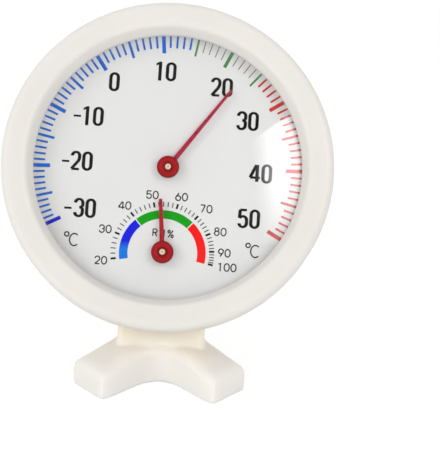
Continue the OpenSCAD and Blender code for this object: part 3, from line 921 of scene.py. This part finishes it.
# The long temperature pointer gets a pinker red as a painted sheen, for the white light that its gloss
# reflects.
sheen_painted_red = lacquer("pointer_red_painted_sheen", (0.42, 0.010, 0.045), (0.36, 0.007, 0.035))
root_width, at_temperature, at_humidity = 1.1, temperature_angle(23.3), humidity_angle(52.8)
temperature_needle = pointer(
    "temperature_pointer_blade", reach=22.7, root=root_width, tip=0.6,
    degrees=at_temperature, place=temperature_place,
)
humidity_needle = pointer(
    "humidity_pointer_blade", reach=12.05, root=root_width, tip=0.8,
    degrees=at_humidity, place=humidity_place,
)
for needle, red in ((temperature_needle, sheen_painted_red), (humidity_needle, pointer_red)):
    needle.data.materials.append(red)
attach(temperature_needle, "temperature_pointer")
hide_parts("temperature_needle")
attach(humidity_needle, "humidity_pointer")
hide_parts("humidity_needle")

# Caps
# Discs moulded in dark red plastic, with a soft edge and a shallow dish round the spindle. The boss
# behind goes through the pointer's eye. The mould was turned, so the face has fine rings.
cap_low, cap_high, cap_r, cap_round, cap_chamfer = 1.45, 2.25, 2.5, 0.35, 0.08
bore_r, boss_r, boss_low = 0.67, 1.1, 0.5
cap_dish = ((1.75, 0), (1.5, 0.05), (1.2, 0.16), (1.0, 0.18), (0.78, 0.16), (bore_r, 0.18))


def cap_piece(name, place):
    """A cap with its boss. The dish is given as distances from the axis with their depths."""
    outline = (
        [(bore_r, boss_low), (boss_r, boss_low), (boss_r, cap_low)]
        + [(cap_r - cap_chamfer, cap_low), (cap_r, cap_low + cap_chamfer)]
        + arc((cap_r - cap_round, cap_high - cap_round), cap_round, 0, 90, 7)
        + [(r, cap_high - depth) for r, depth in cap_dish]
    )
    piece = turned(name, outline, 96)
    settle(piece, place)
    smooth(piece, 35)
    return piece


def ringed_finish(name, place, colour, deeper, metallic, roughness):
    """A face with fine rings round its own axis. Returns the distance from the axis as well, in cap radii."""
    material, tree, shader = shader_of(name)
    coordinates = tree.nodes.new("ShaderNodeTexCoord")
    centred = tree.nodes.new("ShaderNodeMapping")
    centred.vector_type = "TEXTURE"
    centred.inputs["Location"].default_value = place.to_translation()
    centred.inputs["Rotation"].default_value = place.to_euler()
    rings = tree.nodes.new("ShaderNodeTexWave")
    rings.wave_type = "RINGS"
    rings.rings_direction = "Z"
    rings.inputs["Scale"].default_value = 2600
    rings.inputs["Distortion"].default_value = 0.6
    link(tree, coordinates.outputs["Object"], centred.inputs["Vector"])
    link(tree, centred.outputs["Vector"], rings.inputs["Vector"])
    graded(tree, rings.outputs["Fac"], [(0.2, deeper), (0.8, colour)], shader.inputs["Base Color"])
    grain(tree, shader, rings.outputs["Fac"], 0.25, 0.01 * mm)
    shader.inputs["Metallic"].default_value = metallic
    between(tree, cloud(tree, 1200), roughness - 0.05, roughness + 0.05, shader.inputs["Roughness"])
    flat = tree.nodes.new("ShaderNodeVectorMath")
    flat.operation = "MULTIPLY"
    flat.inputs[1].default_value = (1 / (cap_r * mm), 1 / (cap_r * mm), 0)
    radius = tree.nodes.new("ShaderNodeVectorMath")
    radius.operation = "LENGTH"
    link(tree, centred.outputs["Vector"], flat.inputs[0])
    link(tree, flat.outputs["Vector"], radius.inputs[0])
    return material, radius.outputs["Value"]


def paint_shade(material, value, stops):
    """Painted shade: the base colour is multiplied by a shade that depends on a value."""
    sockets = over_colour(material, "MULTIPLY")
    sockets["Factor_Float"].default_value = 1
    shades = [(place, (shade,) * 3) for place, shade in stops]
    graded(material.node_tree, value, shades, sockets["B_Color"])


dark_red, deep_red = (0.46, 0.001, 0.004), (0.36, 0.0008, 0.003)
# Painted shade on the caps: darker on the rounded rim and in the dish round the spindle.
cap_painted_shade = [(0.34, 0.35), (0.44, 0.55), (0.6, 1.0), (0.82, 0.95), (0.94, 0.55), (1.0, 0.35)]
for reading, place in (("temperature", temperature_place), ("humidity", humidity_place)):
    cap = cap_piece(f"{reading}_cap", place)
    cap_red, cap_radius = ringed_finish(f"{reading}_cap_red", place, dark_red, deep_red, 0.1, 0.34)
    cap_red.node_tree.nodes["Principled BSDF"].inputs["Specular IOR Level"].default_value = 0.25
    paint_shade(cap_red, cap_radius, cap_painted_shade)
    cap.data.materials.append(cap_red)
    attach(cap, f"{reading}_pointer")
    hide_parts(f"{reading}_hub")

# Spindles
# Brass pins with a centre mark in the front end and a thinner pivot at the back.
spindle_top, spindle_r, shoulder_at, spindle_chamfer = 2.35, 0.65, -6.5, 0.12
pivot_r, pivot_end = 0.4, -7.9
centre_mark = ((0.2, 0), (0.06, 0.12), (0, 0.14))
pale_brass, dull_brass = (0.95, 0.72, 0.55), (0.90, 0.66, 0.48)
# Painted shade: the brass darkens in the centre mark at the spindle's end.
centre_mark_painted_shade = [(0.0, 0.45), (0.07, 0.6), (0.11, 1.0), (0.24, 1.0)]
for reading, place in (("temperature", temperature_place), ("humidity", humidity_place)):
    outline = (
        [(0, pivot_end), (pivot_r - spindle_chamfer, pivot_end), (pivot_r, pivot_end + spindle_chamfer)]
        + [(pivot_r, shoulder_at), (spindle_r, shoulder_at), (spindle_r, spindle_top - spindle_chamfer)]
        + arc((spindle_r - spindle_chamfer, spindle_top - spindle_chamfer), spindle_chamfer, 0, 90, 4)
        + [(r, spindle_top - depth) for r, depth in centre_mark]
    )
    spindle = turned(f"{reading}_spindle_pin", outline, 64)
    settle(spindle, place)
    smooth(spindle, 35)
    brass, brass_radius = ringed_finish(f"{reading}_brass", place, pale_brass, dull_brass, 0.35, 0.5)
    paint_shade(brass, brass_radius, centre_mark_painted_shade)
    spindle.data.materials.append(brass)
    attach(spindle, f"{reading}_pointer")
    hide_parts(f"{reading}_spindle")

# Movements
# Behind the dial each spindle carries a spiral coil on a collet, inside a bent bracket with an eyelet
# bearing in front and a bush behind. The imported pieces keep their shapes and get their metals.


def rolled_metal(name, colour, roughness, stretch):
    """Rolled or drawn metal with a lengthwise grain."""
    material, tree, shader = shader_of(name)
    coordinates = tree.nodes.new("ShaderNodeTexCoord")
    drawn_out = tree.nodes.new("ShaderNodeMapping")
    drawn_out.inputs["Scale"].default_value = stretch
    noise = tree.nodes.new("ShaderNodeTexNoise")
    noise.inputs["Scale"].default_value = 1000
    link(tree, coordinates.outputs["Object"], drawn_out.inputs["Vector"])
    link(tree, drawn_out.outputs["Vector"], noise.inputs["Vector"])
    deeper = tuple(0.8 * part for part in colour)
    graded(tree, noise.outputs["Fac"], [(0.35, deeper), (0.65, colour)], shader.inputs["Base Color"])
    between(tree, noise.outputs["Fac"], roughness - 0.06, roughness + 0.08, shader.inputs["Roughness"])
    grain(tree, shader, noise.outputs["Fac"], 0.1, 0.01 * mm)
    shader.inputs["Metallic"].default_value = 1
    return material


movement_brass = rolled_metal("movement_brass", (0.80, 0.62, 0.36), 0.32, (1, 1, 1))
bracket_metal = rolled_metal("bracket_metal", (0.75, 0.76, 0.77), 0.38, (0.1, 1, 1))
movement_metals = {
    "bearing": movement_brass,
    "pivot_bush": movement_brass,
    "collet": movement_brass,
    "frame": bracket_metal,
}
coil_metals = {
    "temperature": rolled_metal("bimetal", (0.62, 0.55, 0.47), 0.35, (1, 0.2, 1)),
    "humidity": rolled_metal("humidity_strip", (0.72, 0.62, 0.42), 0.45, (1, 0.2, 1)),
}
for reading, coil_metal in coil_metals.items():
    for part, metal in [*movement_metals.items(), ("coil", coil_metal)]:
        node = frame["nodes"][f"{reading}_{part}"]
        node.data.materials.clear()
        node.data.materials.append(metal)

# Floor and light
# A plain pale floor in a white room, with a soft key lamp on the right, a wide low lamp in front and
# a lamp far to the left, past what the domed lens mirrors.
bpy.ops.mesh.primitive_plane_add(size=6)
floor = bpy.context.object
floor.name = "floor"
floor_material, floor_tree, floor_shader = shader_of("floor_paper")
floor_shader.inputs["Base Color"].default_value = (0.94, 0.94, 0.94, 1)
floor_shader.inputs["Roughness"].default_value = 0.9


def seen(tree):
    """1 for what shows directly, in a mirror or through clear plastic, and 0 for light on things."""
    path = tree.nodes.new("ShaderNodeLightPath")
    value = path.outputs["Is Camera Ray"]
    for name in ("Is Glossy Ray", "Is Transmission Ray"):
        value = reckoned(tree, "MAXIMUM", value, path.outputs[name])
    not_scattered = reckoned(tree, "LESS_THAN", path.outputs["Diffuse Depth"], 0.5)
    return reckoned(tree, "MULTIPLY", value, not_scattered)


shadow_catch = floor_tree.nodes.new("ShaderNodeBsdfDiffuse")
shadow_catch.inputs["Color"].default_value = (0.36, 0.36, 0.36, 1)
paper_glow = floor_tree.nodes.new("ShaderNodeEmission")
paper_glow.inputs["Color"].default_value = (1, 1, 1, 1)
paper_glow.inputs["Strength"].default_value = 0.74
paper_seen = floor_tree.nodes.new("ShaderNodeAddShader")
link(floor_tree, shadow_catch.outputs["BSDF"], paper_seen.inputs[0])
link(floor_tree, paper_glow.outputs["Emission"], paper_seen.inputs[1])
either_shader(
    floor_tree, seen(floor_tree), floor_shader.outputs["BSDF"], paper_seen.outputs["Shader"],
    floor_tree.nodes["Material Output"].inputs["Surface"],
)
floor.data.materials.append(floor_material)

world = bpy.data.worlds.new("white_room")
bpy.context.scene.world = world
world.use_nodes = True
room = world.node_tree
room_light = room.nodes["Background"]
room_light.inputs["Color"].default_value = (1, 1, 1, 1)
room_light.inputs["Strength"].default_value = 0.72
room_seen = room.nodes.new("ShaderNodeBackground")
room_seen.inputs["Color"].default_value = (1, 1, 1, 1)
room_seen.inputs["Strength"].default_value = 1
either_shader(
    room, seen(room), room_light.outputs["Background"], room_seen.outputs["Background"],
    room.nodes["World Output"].inputs["Surface"],
)


def toward(turn, lift):
    """Direction seen from the dial: turned to the right from straight in front, then up, in degrees."""
    a, e = math.radians(turn), math.radians(lift)
    return Vector((math.sin(a) * math.cos(e), -math.cos(a) * math.cos(e), math.sin(e)))


def lamp(name, turn, lift, distance, width, height, watts):
    """A soft lamp that faces the dial, and that mirrors don't show."""
    bpy.ops.object.light_add(type="AREA")
    light = bpy.context.object
    light.name = name
    light.data.shape = "RECTANGLE"
    light.data.size = width
    light.data.size_y = height
    light.data.energy = watts
    light.location = temperature_middle + toward(turn, lift) * distance
    light.rotation_euler = (-toward(turn, lift)).to_track_quat("-Z", "Y").to_euler()
    light.visible_glossy = False


lamp("key_lamp", turn=36, lift=27, distance=0.6, width=0.15, height=0.24, watts=0.5)
lamp("low_fill", turn=-10, lift=3, distance=0.9, width=1.2, height=0.3, watts=2.0)
lamp("left_fill", turn=-56, lift=28, distance=0.8, width=0.3, height=0.4, watts=1.1)


def mirrored_panel(name, turn, lift, distance, width, height):
    """A flat panel that faces the dial and shows only in mirrors."""
    bpy.ops.mesh.primitive_plane_add(size=1)
    panel = bpy.context.object
    panel.name = name
    panel.scale = (width, height, 1)
    panel.location = temperature_middle + toward(turn, lift) * distance
    panel.rotation_euler = (-toward(turn, lift)).to_track_quat("Z", "Y").to_euler()
    panel.visible_camera = panel.visible_diffuse = panel.visible_shadow = False
    return panel


# The lens mirrors the dark room behind the camera, and a tall window on the right of it
dark_card = mirrored_panel("dark_card", turn=0, lift=31, distance=0.75, width=0.95, height=1.0)
card_material, _, card_shader = shader_of("dark_cloth")
card_shader.inputs["Base Color"].default_value = (0.03, 0.03, 0.03, 1)
card_shader.inputs["Roughness"].default_value = 1
card_shader.inputs["Emission Color"].default_value = (1, 1, 1, 1)
card_shader.inputs["Emission Strength"].default_value = 0.05
dark_card.data.materials.append(card_material)

# The window is dark at its left, dims downwards and has a slanted top. Each of its fades is a way
# across the panel, with the places where it is dark and where it is full, counted from the middle
# in shares of the panel's width and height.
window = mirrored_panel("window", turn=29, lift=30, distance=0.6, width=0.18, height=0.28)
window_material, window_tree, _ = shader_of("window_light")
window_place = window_tree.nodes.new("ShaderNodeTexCoord")
window_fades = (
    ((1, 0.2, 0), 0.48, 0.02),
    ((0, 1, 0), -0.85, 0.1),
    ((0.277, 1, 0), 0.455, 0.43),
)
window_brightness = 5
glow = window_brightness
for across, dark_at, full_at in window_fades:
    along = window_tree.nodes.new("ShaderNodeVectorMath")
    along.operation = "DOT_PRODUCT"
    along.inputs[1].default_value = across
    fade = window_tree.nodes.new("ShaderNodeMapRange")
    fade.interpolation_type = "SMOOTHSTEP"
    fade.inputs["From Min"].default_value = dark_at
    fade.inputs["From Max"].default_value = full_at
    link(window_tree, window_place.outputs["Object"], along.inputs[0])
    link(window_tree, along.outputs["Value"], fade.inputs["Value"])
    glow = reckoned(window_tree, "MULTIPLY", fade.outputs["Result"], glow)
window_light = window_tree.nodes.new("ShaderNodeEmission")
window_light.inputs["Color"].default_value = (1, 1, 1, 1)
link(window_tree, glow, window_light.inputs["Strength"])
link(window_tree, window_light.outputs["Emission"], window_tree.nodes["Material Output"].inputs["Surface"])
window.data.materials.append(window_material)

# Camera
# A little above the dial and close to it, turned a trace, as the photograph was taken.
camera_turn, camera_lift, camera_roll = -1.1, 16.3, math.radians(2.75)
camera_distance = 350 * mm
camera_target = Vector((12.26, 5, 33)) * mm
focal_pixels, photo_width = 1565, 440
bpy.ops.object.camera_add()
camera = bpy.context.object
toward_camera = toward(camera_turn, camera_lift)
camera.location = camera_target + toward_camera * camera_distance
level = (-toward_camera).to_track_quat("-Z", "Y").to_matrix()
camera.rotation_euler = (level @ Euler((0, 0, camera_roll)).to_matrix()).to_euler()
camera.data.sensor_fit = "HORIZONTAL"
camera.data.sensor_width = 36
camera.data.lens = focal_pixels * camera.data.sensor_width / photo_width
bpy.context.scene.camera = camera
bpy.context.scene.view_settings.view_transform = "Standard"
